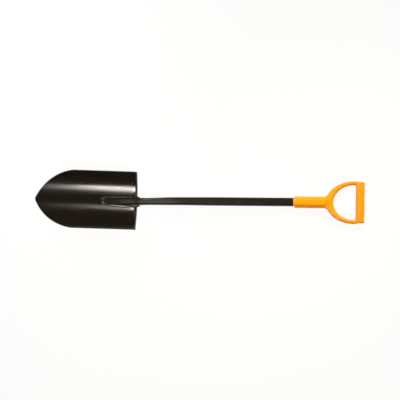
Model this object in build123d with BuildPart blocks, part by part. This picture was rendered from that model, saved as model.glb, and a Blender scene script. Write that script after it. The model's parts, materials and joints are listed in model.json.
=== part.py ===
from build123d import *
from math import asin, atan2, cos, hypot, pi, radians, sin, tan
import os

# A pointed digging spade, lying on its back with the hollow of the blade upwards.
# Millimetres and degrees; +X runs from the blade's tip to the handle, +Z is up.

# Whole tool
overall_length = 1170.0
blade_lift = 14.0  # rise of the blade towards its tip, above the floor
shaft_rise = 2.0  # rise of the shaft towards the blade, above the floor
margin = 20.0  # how far cutting shapes reach past what they cut

# Blade
sheet = 2.0
blade_length = 366.0  # tip to heel
blade_half_width = 104.5
dish_radius = 167.0  # of the hollow front face
point_length = 135.0  # tip to the corner where the sides start
point_radius = 170.0  # of the two arcs that make the point
point_corner_radius = 25.0
tip_radius = 15.0
tread_depth = 16.0  # from the front face down to the tread's rim
tread_lean = 6.0  # the shoulder's corners sit nearer the tip than its middle
bend_inner_radius = 2.5
contact_gap = 0.02  # between the blade's face and what is welded on it

# Shaft tube
wall = 1.5
shaft_width = 29.8
shaft_depth = 26.0
shaft_corner = 9.0
upper_neck_width = 28.0  # at the upper bend
waist_width = 25.2  # at the narrowest place
taper_reach = 310.0  # from the heel up to where the straight shaft starts
upper_bend_reach = 145.0  # from the heel
waist_reach = 42.0
lower_bend_reach = 15.0
upper_bend_radius = 420.0
lower_bend_radius = 130.0
tongue_length = 120.0  # heel to nose, along the blade
tongue_heel_width = 26.4
tongue_nose_width = 24.4
tongue_height_heel = 23.0  # top of the tongue above the blade at the heel
tongue_height_nose = 5.5
nose_reach = 22.0  # length of the rounded nose
hollow_stop = 26.0  # solid end behind the nose
station_count = 24  # sections that the neck and the tongue run through

# Weld beads
bead_leg = 6.0  # across the blade
bead_height = 4.6  # up the tongue's side
bead_rise = 0.3  # of the bead's middle line above the lowest line of the blade
bead_start = 30.0  # from the heel
blob_radius = 6.4
heel_weld_half_length = 17.0
heel_weld_radius = 7.6
heel_weld_overhang = 5.0  # past the tread's face

# Handle: distances are from the grip's axis, along the shaft
grip_outer = 15.5
grip_inner = 14.8
grip_thickness = 34.0
grip_half_length = 70.9
grip_round = 14.4
grip_end_round = 3.0
grip_seam = 5.8  # the seam lies this far inside the axis
mouth = 230.6  # mouth of the socket
mouth_chamfer_length = 6.0
mouth_chamfer_depth = 4.0
sleeve_width = 40.3
sleeve_depth = 38.0
sleeve_round = 16.5
sleeve_end = 121.0  # where the sleeve runs into the yoke
yoke_merge = 101.0
yoke_merge_width = 48.0
yoke_depth = 25.0
yoke_round = 6.0
yoke_half_width = 74.4
yoke_outer_centre = 21.2
yoke_outer_reach = 97.4
opening_half_width = 61.1
opening_centre = 22.2
opening_reach = 71.4
opening_corner = 7.0
socket_depth = 108.0
socket_gap = 0.1  # clearance all round the tube in its socket
tube_end_gap = 1.0

# Grip shell
shell_wall = 4.0
shell_hollow_height = 19.0
peg_radius = 3.4
peg_reach = 6.0  # into the frame
peg_end_gap = 0.5
peg_spacing = 48.0

# Blind rivet
rivet_position = 60.0  # behind the socket's mouth
rivet_head_radius = 4.75
rivet_head_thickness = 1.5
rivet_recess = 2.2  # depth of the seat in the sleeve
rivet_shank_radius = 2.4
rivet_gap = 0.1
rivet_bulb_radius = 3.5
rivet_bulb_length = 5.0
mandrel_radius = 1.3
mandrel_head_radius = 2.1
mandrel_head_length = 2.4

# Directions of the blade and of the shaft
lift = radians(blade_lift)
rise = radians(shaft_rise)
lean = radians(tread_lean)
to_tip = Vector(-cos(lift), 0, sin(lift))
blade_up = Vector(sin(lift), 0, cos(lift))
to_grip = Vector(cos(rise), 0, -sin(rise))
shaft_up = Vector(sin(rise), 0, cos(rise))
across = Vector(0, 1, 0)

# Fixed points: the heel is the middle of the shoulder on the front face
heel_height = tread_depth * cos(lift - lean)
heel = Vector(-overall_length / 2 + blade_length * cos(lift), 0, heel_height)
grip_axis = Vector(overall_length / 2 - grip_outer, 0, grip_thickness / 2)


def on_blade(along, up):
    return heel + to_tip * along + blade_up * up


def on_shaft(back):
    return grip_axis - to_grip * back


# Planes that the sketches lie on
blade_plan = Plane(origin=heel, x_dir=to_tip, z_dir=blade_up)
blade_section = Plane(origin=on_blade(-margin, 0), x_dir=(0, -1, 0), z_dir=to_tip)
tread_normal = to_tip * cos(lean) - blade_up * sin(lean)
tread_face = Plane(origin=heel, z_dir=tread_normal)
tread_back = Plane(origin=heel + tread_normal * sheet, z_dir=tread_normal)
handle_plan = Plane(origin=grip_axis, x_dir=to_grip, z_dir=shaft_up)
seam_plane = Plane(origin=on_shaft(grip_seam), x_dir=across, z_dir=to_grip)


def shaft_section(back):
    return Plane(origin=on_shaft(back), x_dir=across, z_dir=to_grip)


# Tread: a strip behind the shoulder, as deep as the tread is
with BuildPart() as tread_strip:
    with BuildSketch(blade_section):
        with Locations((0, dish_radius)):
            Circle(dish_radius + tread_depth)
            Circle(dish_radius, mode=Mode.SUBTRACT)
        with Locations((0, dish_radius / 4)):
            Rectangle(2 * blade_half_width + margin, dish_radius, mode=Mode.INTERSECT)
    extrude(amount=2 * margin)
    split(bisect_by=tread_face, keep=Keep.TOP)
    split(bisect_by=tread_back, keep=Keep.BOTTOM)

# Blade: the dished sheet, with the tread bent back at its shoulder, cut to the pointed outline
chord = hypot(point_length, blade_half_width)
tip_half_angle = atan2(blade_half_width, point_length) + asin(chord / (2 * point_radius))
tip_cut_back = tip_radius * (1 / sin(tip_half_angle) - 1)
point_start = blade_length - point_length
apex = (blade_length + tip_cut_back, 0)
bend_inner_line = on_blade(sheet / cos(lean) - sheet * tan(lean), -sheet)

with BuildPart() as blade:
    with BuildSketch(blade_section):
        with Locations((0, dish_radius)):
            Circle(dish_radius + sheet)
            Circle(dish_radius, mode=Mode.SUBTRACT)
        with Locations((0, dish_radius / 4)):
            Rectangle(2 * blade_half_width + margin, dish_radius, mode=Mode.INTERSECT)
    extrude(amount=blade_length + 2 * margin)
    split(bisect_by=tread_face, keep=Keep.TOP)
    add(tread_strip.part)
    outer_bend = blade.edges().sort_by_distance(heel)[0]
    fillet(outer_bend, radius=bend_inner_radius + sheet)
    inner_bend = blade.edges().sort_by_distance(bend_inner_line)[0]
    fillet(inner_bend, radius=bend_inner_radius)
    with BuildSketch(blade_plan) as outline:
        with BuildLine():
            RadiusArc((point_start, blade_half_width), apex, point_radius)
            RadiusArc(apex, (point_start, -blade_half_width), point_radius)
            Polyline(
                (point_start, -blade_half_width),
                (-margin, -blade_half_width),
                (-margin, blade_half_width),
                (point_start, blade_half_width),
            )
        make_face()
        fillet(outline.vertices().sort_by(Axis.X)[-1], radius=tip_radius)
        point_corners = outline.vertices().filter_by(lambda corner: abs(corner.X - point_start) < 1)
        fillet(point_corners, radius=point_corner_radius)
    extrude(amount=dish_radius, both=True, mode=Mode.INTERSECT)

# Space behind the blade's front face, and the part of it on the tip's side of the tread
with BuildPart() as behind_front:
    with BuildSketch(blade_section):
        Rectangle(4 * tongue_heel_width, 4 * shaft_depth)
        with Locations((0, dish_radius)):
            Circle(dish_radius - contact_gap, mode=Mode.SUBTRACT)
    extrude(amount=tongue_length + 4 * margin)

with BuildPart() as behind_blade:
    add(behind_front.part)
    split(bisect_by=tread_face, keep=Keep.TOP)

# Line of the tube from the socket down the shaft, through the neck and along the tongue
tube_top = on_shaft(mouth - socket_depth + tube_end_gap)


def shaft_line(reach):
    return on_shaft((grip_axis.X - reach) / cos(rise))


def tongue_centre(along):
    share = along / tongue_length
    top = tongue_height_heel + (tongue_height_nose - tongue_height_heel) * share
    return on_blade(along, top - shaft_depth / 2)


tongue_end = tongue_centre(tongue_length + margin)
lower_corner = tongue_centre(-lower_bend_reach)
upper_corner = shaft_line(heel.X + upper_bend_reach)
taper_start = shaft_line(heel.X + taper_reach)

with BuildLine() as tube_line:
    FilletPolyline(
        taper_start,
        upper_corner,
        lower_corner,
        tongue_end,
        radius=[upper_bend_radius, lower_bend_radius],
    )
tube_path = tube_line.wire()
line_length = tube_path.length
tongue_start = line_length - tongue_length - margin

# Widths down that line; between two of them the width eases from one to the next
tube_widths = (
    (0.0, shaft_width),
    (tongue_start - upper_bend_reach, upper_neck_width),
    (tongue_start - waist_reach, waist_width),
    (tongue_start, tongue_heel_width),
    (tongue_start + tongue_length, tongue_nose_width),
    (line_length, tongue_nose_width),
)


def tube_width(distance):
    for (start, width), (end, next_width) in zip(tube_widths, tube_widths[1:]):
        if distance <= end:
            ease = (1 - cos(pi * (distance - start) / (end - start))) / 2
            return width + (next_width - width) * ease
    return tongue_nose_width


def tube_plane(distance):
    share = distance / line_length
    return Plane(origin=tube_path @ share, x_dir=across, z_dir=tube_path % share)


# Outside of the tube, cut to lie on the blade and rounded at the nose
with BuildPart() as tube_form:
    for station in range(station_count + 1):
        distance = line_length * station / station_count
        with BuildSketch(tube_plane(distance)):
            RectangleRounded(tube_width(distance), shaft_depth, shaft_corner)
    loft()
    with BuildSketch(shaft_section((grip_axis - taper_start).length)):
        RectangleRounded(shaft_width, shaft_depth, shaft_corner)
    extrude(amount=(tube_top - taper_start).length)
    add(behind_blade.part, mode=Mode.SUBTRACT)
    with BuildSketch(blade_plan):
        with Locations((tongue_length + margin, 0)):
            Rectangle(2 * nose_reach + 2 * margin, 2 * tongue_heel_width)
        with Locations((tongue_length - nose_reach, 0)):
            Ellipse(nose_reach, tongue_nose_width / 2, mode=Mode.SUBTRACT)
            Rectangle(
                2 * nose_reach,
                2 * tongue_heel_width,
                align=(Align.MAX, Align.CENTER),
                mode=Mode.SUBTRACT,
            )
    extrude(amount=2 * shaft_depth, both=True, mode=Mode.SUBTRACT)

# Hollow of the tube; it stops short of the nose
hollow_length = line_length - margin - hollow_stop
with BuildPart() as tube_hollow:
    for station in range(station_count + 1):
        distance = hollow_length * station / station_count
        with BuildSketch(tube_plane(distance)):
            RectangleRounded(tube_width(distance) - 2 * wall, shaft_depth - 2 * wall, shaft_corner - wall)
    loft()
    with BuildSketch(shaft_section((grip_axis - taper_start).length)):
        RectangleRounded(shaft_width - 2 * wall, shaft_depth - 2 * wall, shaft_corner - wall)
    extrude(amount=(tube_top - taper_start).length + margin)

# Rivet axis, square to the back of the sleeve
rivet_back = mouth - rivet_position
rivet_plane = Plane(origin=on_shaft(rivet_back), x_dir=across, z_dir=shaft_up * -1)
seat_level = sleeve_depth / 2 - rivet_recess

with BuildPart() as shaft_tube:
    add(tube_form.part)
    add(tube_hollow.part, mode=Mode.SUBTRACT)
    with BuildSketch(rivet_plane):
        Circle(rivet_shank_radius + rivet_gap)
    extrude(amount=shaft_depth, mode=Mode.SUBTRACT)

# Welds: round beads laid in the corner between tongue and blade, less the tube and the blade
side_run = tongue_length - nose_reach
nose_start = Plane(origin=on_blade(side_run, 0), z_dir=to_tip)
blob_start = Plane(origin=on_blade(bead_start - blob_radius / 2, 0), z_dir=to_tip)

with BuildPart() as weld_limits:
    add(tube_form.part)
    add(behind_front.part)

with BuildPart() as weld_nose:
    with BuildLine(blade_plan.offset(bead_rise)) as nose_line:
        EllipticalCenterArc(
            (side_run, 0),
            nose_reach,
            tongue_nose_width / 2,
            start_angle=-90,
            arc_size=180,
        )
    nose_path = nose_line.wire()
    with BuildSketch(Plane(origin=nose_path @ 0, x_dir=across, z_dir=nose_path % 0)):
        Ellipse(bead_leg, bead_height)
    sweep(path=nose_path)
    add(weld_limits.part, mode=Mode.SUBTRACT)


with BuildPart() as weld_heel_left:
    heel_centre = on_blade(heel_weld_half_length - heel_weld_overhang, bead_rise)
    heel_centre = heel_centre + across * (tongue_heel_width / 2)
    with BuildSketch(Plane(origin=heel_centre, x_dir=to_tip, z_dir=across)):
        Ellipse(heel_weld_half_length, heel_weld_radius)
        Rectangle(
            2 * heel_weld_half_length,
            heel_weld_radius,
            align=(Align.CENTER, Align.MAX),
            mode=Mode.SUBTRACT,
        )
    revolve(axis=Axis(heel_centre, to_tip))
    split(bisect_by=blob_start, keep=Keep.BOTTOM)
    add(weld_limits.part, mode=Mode.SUBTRACT)

with BuildPart() as weld_side_left:
    bead_low = on_blade(bead_start, bead_rise) + across * (tongue_heel_width / 2)
    bead_high = on_blade(side_run, bead_rise) + across * (tongue_nose_width / 2)
    with BuildSketch(Plane(origin=bead_low, x_dir=across, z_dir=bead_high - bead_low)):
        Ellipse(bead_leg, bead_height)
    extrude(amount=(bead_high - bead_low).length + sheet)
    split(bisect_by=nose_start, keep=Keep.BOTTOM)
    with Locations(bead_low):
        Sphere(blob_radius)
    split(bisect_by=blob_start, keep=Keep.TOP)
    add(weld_limits.part, mode=Mode.SUBTRACT)

with BuildPart() as weld_heel_right:
    mirror(weld_heel_left.part, about=Plane.XZ)

with BuildPart() as weld_side_right:
    mirror(weld_side_left.part, about=Plane.XZ)

# Grip bar, whole; the seam divides it between the frame and the shell
with BuildPart() as grip_bar:
    with BuildSketch(Plane(origin=grip_axis - across * grip_half_length, x_dir=to_grip, z_dir=across)):
        with Locations(((grip_outer - grip_inner) / 2, 0)):
            RectangleRounded(grip_outer + grip_inner, grip_thickness, grip_round)
    extrude(amount=2 * grip_half_length)
    fillet(grip_bar.faces().filter_by(Axis.Y).edges(), radius=grip_end_round)

with BuildPart() as grip_inner_half:
    add(grip_bar.part)
    split(bisect_by=seam_plane, keep=Keep.BOTTOM)

# Yoke: a rounded bow from the sleeve round the hand opening to the seam
with BuildPart() as yoke:
    with BuildSketch(handle_plan):
        with Locations((-yoke_outer_centre, 0)):
            Ellipse(yoke_outer_reach, yoke_half_width)
            Rectangle(
                2 * yoke_outer_reach,
                2 * yoke_half_width,
                align=(Align.MAX, Align.CENTER),
                mode=Mode.INTERSECT,
            )
            Rectangle(
                yoke_outer_centre - grip_seam,
                2 * yoke_half_width,
                align=(Align.MIN, Align.CENTER),
            )
    extrude(amount=yoke_depth / 2, both=True)
    with BuildSketch(handle_plan) as opening:
        with Locations((-opening_centre, 0)):
            Ellipse(opening_reach, opening_half_width)
            Rectangle(
                2 * opening_reach,
                2 * opening_half_width,
                align=(Align.MAX, Align.CENTER),
                mode=Mode.INTERSECT,
            )
            Rectangle(
                opening_centre - grip_inner,
                2 * opening_half_width,
                align=(Align.MIN, Align.CENTER),
            )
        fillet(opening.vertices().sort_by(Axis.X)[-2:], radius=opening_corner)
    extrude(amount=yoke_depth, both=True, mode=Mode.SUBTRACT)
    rims = yoke.faces().filter_by(Axis(grip_axis, shaft_up)).edges()
    rims = rims.filter_by(lambda edge: handle_plan.to_local_coords(edge.center()).X < -grip_seam - 1)
    fillet(rims, radius=yoke_round)

# Handle frame: sleeve, yoke and the inner half of the grip in one moulding
with BuildPart() as handle_frame:
    with BuildSketch(shaft_section(mouth)):
        RectangleRounded(
            sleeve_width - 2 * mouth_chamfer_depth,
            sleeve_depth - 2 * mouth_chamfer_depth,
            sleeve_round - mouth_chamfer_depth,
        )
    with BuildSketch(shaft_section(mouth - mouth_chamfer_length)):
        RectangleRounded(sleeve_width, sleeve_depth, sleeve_round)
    loft(ruled=True)
    with BuildSketch(shaft_section(mouth - mouth_chamfer_length)):
        RectangleRounded(sleeve_width, sleeve_depth, sleeve_round)
    extrude(amount=mouth - mouth_chamfer_length - sleeve_end)
    with BuildSketch(shaft_section(sleeve_end)):
        RectangleRounded(sleeve_width, sleeve_depth, sleeve_round)
    with BuildSketch(shaft_section(yoke_merge)):
        RectangleRounded(yoke_merge_width, yoke_depth, yoke_depth / 2 - 1)
    loft(ruled=True)
    add(yoke.part)
    add(grip_inner_half.part)
    with BuildSketch(shaft_section(mouth)):
        RectangleRounded(
            shaft_width + 2 * socket_gap,
            shaft_depth + 2 * socket_gap,
            shaft_corner + socket_gap,
        )
    extrude(amount=socket_depth, mode=Mode.SUBTRACT)
    with BuildSketch(seam_plane):
        with GridLocations(peg_spacing, 0, 3, 1):
            Circle(peg_radius)
    extrude(amount=-peg_reach - peg_end_gap, mode=Mode.SUBTRACT)
    with BuildSketch(rivet_plane):
        Circle(rivet_shank_radius + rivet_gap)
    extrude(amount=sleeve_depth, mode=Mode.SUBTRACT)
    with BuildSketch(rivet_plane.offset(seat_level)):
        Circle(rivet_head_radius + rivet_gap)
    extrude(amount=sleeve_depth, mode=Mode.SUBTRACT)

# Grip shell: the outer half of the grip, hollow, with three pegs that press into the frame
hollow_floor = grip_outer + grip_seam - shell_wall
with BuildPart() as grip_shell:
    add(grip_bar.part)
    split(bisect_by=seam_plane, keep=Keep.TOP)
    with BuildSketch(seam_plane):
        RectangleRounded(
            2 * (grip_half_length - shell_wall),
            shell_hollow_height,
            shell_hollow_height / 4,
        )
    extrude(amount=hollow_floor, mode=Mode.SUBTRACT)
    with BuildSketch(seam_plane.offset(-peg_reach)):
        with GridLocations(peg_spacing, 0, 3, 1):
            Circle(peg_radius)
    extrude(amount=peg_reach + hollow_floor)

# Blind rivet: head in its seat, shank through sleeve and tube, bulb inside the tube
bulb_level = shaft_depth / 2 - wall
with BuildPart() as handle_rivet:
    with BuildSketch(rivet_plane.offset(seat_level)):
        Circle(rivet_head_radius)
    extrude(amount=rivet_head_thickness)
    with BuildSketch(rivet_plane.offset(bulb_level)):
        Circle(rivet_shank_radius)
    extrude(amount=seat_level - bulb_level)
    with BuildSketch(rivet_plane.offset(bulb_level)):
        Circle(rivet_bulb_radius)
    extrude(amount=-rivet_bulb_length)
    with BuildSketch(rivet_plane):
        Circle(mandrel_radius)
    extrude(amount=sleeve_depth, mode=Mode.SUBTRACT)

with BuildPart() as rivet_mandrel:
    with BuildSketch(rivet_plane.offset(bulb_level - rivet_bulb_length)):
        Circle(mandrel_radius)
    extrude(amount=rivet_bulb_length - bulb_level + seat_level + rivet_head_thickness / 2)
    with BuildSketch(rivet_plane.offset(bulb_level - rivet_bulb_length)):
        Circle(mandrel_head_radius)
    extrude(amount=-mandrel_head_length)

# Centre the tool over the origin, lowest point on the floor, and write one file for each piece
pieces = {
    "blade": blade,
    "shaft_tube": shaft_tube,
    "weld_nose": weld_nose,
    "weld_side_left": weld_side_left,
    "weld_side_right": weld_side_right,
    "weld_heel_left": weld_heel_left,
    "weld_heel_right": weld_heel_right,
    "handle_frame": handle_frame,
    "grip_shell": grip_shell,
    "handle_rivet": handle_rivet,
    "rivet_mandrel": rivet_mandrel,
}
boxes = [piece.part.bounding_box() for piece in pieces.values()]
middle = (min(box.min.X for box in boxes) + max(box.max.X for box in boxes)) / 2
floor = min(box.min.Z for box in boxes)
to_origin = Location((-middle, 0, -floor))
os.makedirs("parts", exist_ok=True)
for node, piece in pieces.items():
    piece.part.locate(to_origin)
    piece.part.label = node
    export_step(piece.part, "parts/" + node + ".step")
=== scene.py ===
import json
import bmesh
import bpy
import numpy as np
from mathutils import Matrix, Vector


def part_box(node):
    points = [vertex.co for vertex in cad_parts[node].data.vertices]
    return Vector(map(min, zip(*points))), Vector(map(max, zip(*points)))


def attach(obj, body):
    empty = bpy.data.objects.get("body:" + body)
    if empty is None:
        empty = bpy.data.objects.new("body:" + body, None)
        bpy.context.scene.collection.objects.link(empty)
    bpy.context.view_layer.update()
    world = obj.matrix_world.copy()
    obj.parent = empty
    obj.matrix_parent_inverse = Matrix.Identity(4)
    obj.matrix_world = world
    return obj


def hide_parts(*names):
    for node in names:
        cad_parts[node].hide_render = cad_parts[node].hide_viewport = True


# Pointed digging spade lying on its back. Metres; +X runs from the blade's tip to the grip, +Z is up.

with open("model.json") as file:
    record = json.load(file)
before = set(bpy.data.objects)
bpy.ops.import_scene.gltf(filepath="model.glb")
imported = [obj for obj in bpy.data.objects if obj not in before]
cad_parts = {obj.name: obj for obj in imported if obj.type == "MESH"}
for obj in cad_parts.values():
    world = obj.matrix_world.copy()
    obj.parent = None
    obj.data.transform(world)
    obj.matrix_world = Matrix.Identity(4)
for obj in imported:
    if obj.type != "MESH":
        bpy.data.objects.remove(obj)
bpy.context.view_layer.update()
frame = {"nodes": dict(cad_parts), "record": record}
print("frame loaded:", len(frame["nodes"]), "pieces")

acrossDir = np.array([0.0, 1.0, 0.0])
mergeGap = 2e-6  # points nearer than this are one point
pathSteps = 6000  # fine steps that a path is summed in
tiny = 1e-9  # keeps a divisor from being nought


# Shared surface tools

def blend(amount):
    # eased step: half a cosine wave from 0 to 1
    return (1 - np.cos(np.pi * np.clip(amount, 0, 1))) / 2


def cellsOf(index, window=None):
    # the four corner numbers of every cell in a grid of point numbers that closes round its columns,
    # without the cells of a window
    index = np.concatenate([index, index[:, :1]], axis=1)
    corners = [index[:-1, :-1], index[:-1, 1:], index[1:, 1:], index[1:, :-1]]
    cells = np.stack(corners, axis=-1)
    keep = np.ones(cells.shape[:2], dtype=bool)
    if window:
        (firstRow, lastRow), (firstColumn, lastColumn) = window
        keep[firstRow:lastRow, firstColumn:lastColumn] = False
    return cells[keep]


def numbered(points, first=0):
    # point numbers of a grid of points
    return first + np.arange(points[..., 0].size).reshape(points.shape[:2])


def windowRim(index, rows, columns):
    # the point numbers round a rectangular window in a grid, once round
    (top, bottom), (left, right) = rows, columns
    return np.concatenate([
        index[top, left:right],
        index[top:bottom, right],
        index[bottom, left + 1:right + 1][::-1],
        index[top + 1:bottom + 1, left][::-1],
    ])


def bridge(start, startPull, end, endPull, rows):
    # cubic between two loops that leaves each along its own pull; the two loops themselves are left out
    share = np.linspace(0, 1, rows + 2)[1:-1, None, None]
    near, far = (1 - share) ** 2 * (1 + 2 * share), share ** 2 * (3 - 2 * share)
    leaving, arriving = share * (1 - share) ** 2, share ** 2 * (1 - share)
    return near * start + far * end + leaving * startPull - arriving * endPull


def roundedRectangle(angle, halfWidth, halfDepth, corner):
    # distance from the middle to the edge of a rectangle with round corners, in each direction
    across, upward = np.abs(np.cos(angle)), np.abs(np.sin(angle))
    flatWidth, flatDepth = halfWidth - corner, halfDepth - corner
    toSide = halfWidth / np.maximum(across, tiny)
    toTop = halfDepth / np.maximum(upward, tiny)
    along = flatWidth * across + flatDepth * upward
    toCorner = along + np.sqrt(np.maximum(along ** 2 - flatWidth ** 2 - flatDepth ** 2 + corner ** 2, 0))
    toRest = np.where(toTop * across <= flatWidth, toTop, toCorner)
    return np.where(toSide * upward <= flatDepth, toSide, toRest)


def bentPath(start, knots, headings, distance):
    # heading is a broken line over the distance run, and the path is the running sum of its direction
    fine = np.linspace(0, knots[-1], pathSteps)
    heading = np.interp(fine, knots, headings)
    run = np.stack([np.cos(heading), np.sin(heading)], axis=1)
    summed = np.cumsum((run[1:] + run[:-1]) / 2 * fine[1], axis=0)
    line = start + np.concatenate([np.zeros((1, 2)), summed])
    spot = np.stack([np.interp(distance, fine, line[:, 0]), np.interp(distance, fine, line[:, 1])], axis=1)
    return spot, np.interp(distance, knots, headings)


def roundedRoute(corners, radii):
    # distances and headings where straight runs give way to tangent arcs
    leg = np.diff(corners, axis=0)
    heading = np.arctan2(leg[:, 1], leg[:, 0])
    turn = np.diff(heading)
    cut = np.abs(radii * np.tan(turn / 2))
    straight = np.hypot(leg[:, 0], leg[:, 1]) - np.append(0, cut) - np.append(cut, 0)
    runs = np.zeros(2 * len(straight))
    runs[1::2] = straight
    runs[2::2] = np.abs(radii * turn)
    return np.cumsum(runs), np.repeat(heading, 2)


def capped(rings):
    # a grid of rings, closed by the middle of its first and of its last ring
    ends = rings[[0, -1]].mean(axis=1, keepdims=True).repeat(rings.shape[1], axis=1)
    return np.concatenate([ends[:1], rings, ends[1:]])


def makePiece(name, points, node, quads=None, sharpAngle=40, wearGlint=None):
    # one closed mesh from an array of points, riding on the spade in place of its CAD node; without
    # quads the points are a grid of rings, and wearGlint says where the paint is off to bare steel, which
    # on the nose bead's crests is also a painted glint
    if quads is None:
        quads = cellsOf(numbered(points))
    mesh = bpy.data.meshes.new(name)
    mesh.from_pydata(points.reshape(-1, 3).tolist(), [], quads.tolist())
    if wearGlint is not None:
        wornGlint = mesh.attributes.new("wearGlint", "FLOAT", "POINT").data
        wornGlint.foreach_set("value", wearGlint.ravel().astype(np.float32))
    work = bmesh.new()
    work.from_mesh(mesh)
    bmesh.ops.remove_doubles(work, verts=work.verts, dist=mergeGap)
    bmesh.ops.dissolve_degenerate(work, edges=work.edges, dist=mergeGap)
    bmesh.ops.recalc_face_normals(work, faces=work.faces)
    openEdges = sum(not edge.is_manifold for edge in work.edges)
    work.to_mesh(mesh)
    work.free()
    mesh.shade_smooth()
    mesh.set_sharp_from_angle(angle=np.radians(sharpAngle))
    piece = bpy.data.objects.new(name, mesh)
    bpy.context.scene.collection.objects.link(piece)
    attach(piece, "root")
    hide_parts(node)
    print(name, len(mesh.polygons), "faces,", openEdges, "open edges")
    return piece


# Blade: dished sheet whose shoulder is bent back as a tread

blade = dict(
    length=0.366,
    sheet=0.002,
    dish=0.167,  # radius of the hollow front
    lift=14.0,  # degrees that the blade rises towards its tip
    pointLength=0.135,
    pointRadius=0.170,
    pointCorner=0.025,
    tipRadius=0.015,
    treadDepth=0.016,
    treadLean=6.0,
    bend=0.008,  # outside radius of the bend at the shoulder
    sagReach=0.024,  # the face begins to fall off this far before the shoulder
    sagTurn=6.0,
    leanReach=0.07,  # how far along the blade the lean of the shoulder fades out
    edgeRound=0.0007,
    wearReach=0.003,
    bendClear=0.001,  # from the bend to the first row on the face
    pointStart=0.62,  # shares of the outline where its rows draw closer
    tipStart=0.955,
    sideSteps=44,
    pointSteps=40,
    tipSteps=24,
    sagSteps=9,
    bendSteps=16,
    treadSteps=6,
    rimSteps=4,
    edgeSteps=5,
    widthSteps=72,
)
bladeLow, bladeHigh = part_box("blade")
bladeHalf = bladeHigh.y
lift = np.radians(blade["lift"])
lean = np.radians(blade["treadLean"])
toTip = np.array([-np.cos(lift), 0.0, np.sin(lift)])
bladeUp = np.array([np.sin(lift), 0.0, np.cos(lift)])
heel = np.array([
    bladeLow.x + blade["length"] * np.cos(lift) + blade["sheet"] * np.sin(lift),
    0.0,
    bladeLow.z + blade["treadDepth"] * np.cos(lift - lean) / np.cos(lean),
])  # middle of the shoulder on the front face


def onBlade(along, side, up):
    # blade coordinates to the spade's frame
    return heel + along[..., None] * toTip + side[..., None] * acrossDir + up[..., None] * bladeUp


def dishHeight(side, depth=0.0):
    # height of the round hollow at a distance from the middle, depth below its front face
    reach = blade["dish"] + depth
    return blade["dish"] - np.sqrt(reach ** 2 - side ** 2)


def pointOutline(share):
    # half of the outline, by share of its run from the shoulder: straight side, corner arc, long arc of
    # the point, tip arc
    chord = np.hypot(blade["pointLength"], bladeHalf)
    tipAngle = np.arctan2(bladeHalf, blade["pointLength"]) + np.arcsin(chord / (2 * blade["pointRadius"]))
    apex = blade["length"] + blade["tipRadius"] * (1 / np.sin(tipAngle) - 1)
    first = np.array([blade["length"] - blade["pointLength"], bladeHalf])
    last = np.array([apex, 0.0])
    half = (last - first) / 2
    inward = np.array([half[1], -half[0]]) / np.hypot(*half)
    centre = first + half + inward * np.sqrt(blade["pointRadius"] ** 2 - half @ half)
    cornerUp = bladeHalf - blade["pointCorner"] - centre[1]
    cornerOut = np.sqrt((blade["pointRadius"] - blade["pointCorner"]) ** 2 - cornerUp ** 2)
    tipOut = np.sqrt((blade["pointRadius"] - blade["tipRadius"]) ** 2 - centre[1] ** 2)
    turnCorner = np.arctan2(cornerOut, cornerUp)
    turnTip = np.arctan2(tipOut, -centre[1])
    headings = -np.array([0, 0, turnCorner, turnTip, np.pi / 2])
    arcs = [blade["pointCorner"], blade["pointRadius"], blade["tipRadius"]]
    runs = np.concatenate([[0, centre[0] + cornerOut], arcs * -np.diff(headings)[1:]])
    knots = np.cumsum(runs)
    spot, heading = bentPath(np.array([0.0, bladeHalf]), knots, headings, share * knots[-1])
    return spot[:, 0], spot[:, 1], heading


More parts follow.
